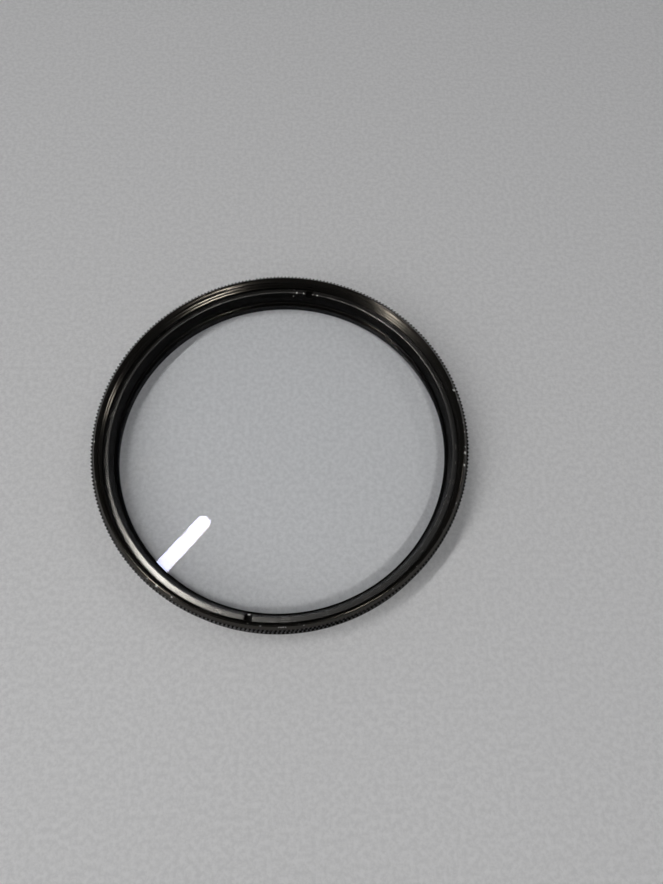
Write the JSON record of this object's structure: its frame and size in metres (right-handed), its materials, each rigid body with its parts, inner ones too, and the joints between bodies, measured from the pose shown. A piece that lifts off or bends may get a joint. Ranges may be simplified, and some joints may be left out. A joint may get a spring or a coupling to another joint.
{
  "type": "screw-in lens filter",
  "caption": "Clear round lens filter: knurled black ring with front and rear filter threads, a flat glass disc and a notched threaded retaining ring.",
  "frame": {"origin": "on the optical axis, in the plane of the rear end face of the male thread", "axes": "+Z along the optical axis towards the front (the female thread); +X to the right and +Y away from the viewer; the spanner notches lie on a diameter 81.5 degrees round from +X"},
  "size_m": [0.057, 0.057, 0.0078],
  "materials": {
    "frame_black": "black anodised, satin, with bare metal at worn knurl edges",
    "clear_glass": "polished clear, faint blue-violet coating",
    "retainer_black": "black anodised, fine turned face"
  },
  "bodies": {
    "frame": {"frame_ring": "frame_black"},
    "glass": {"glass_disc": "clear_glass"},
    "retainer": {"retaining_ring": "retainer_black"}
  },
  "joints": [
    {"name": "glass_lift", "type": "slide", "parent": "frame", "child": "glass", "axis": [0, 0, 1], "range_m": [0, 0.00225]},
    {"name": "retainer_turn", "type": "hinge", "parent": "glass", "child": "retainer", "pos_m": [0, 0, 0.0047], "axis": [0, 0, 1], "range_deg": [0, 1080]}
  ],
  "couplings": [
    {"joint": "glass_lift", "follows": "retainer_turn", "m_per_rad": 0.00011936}
  ]
}
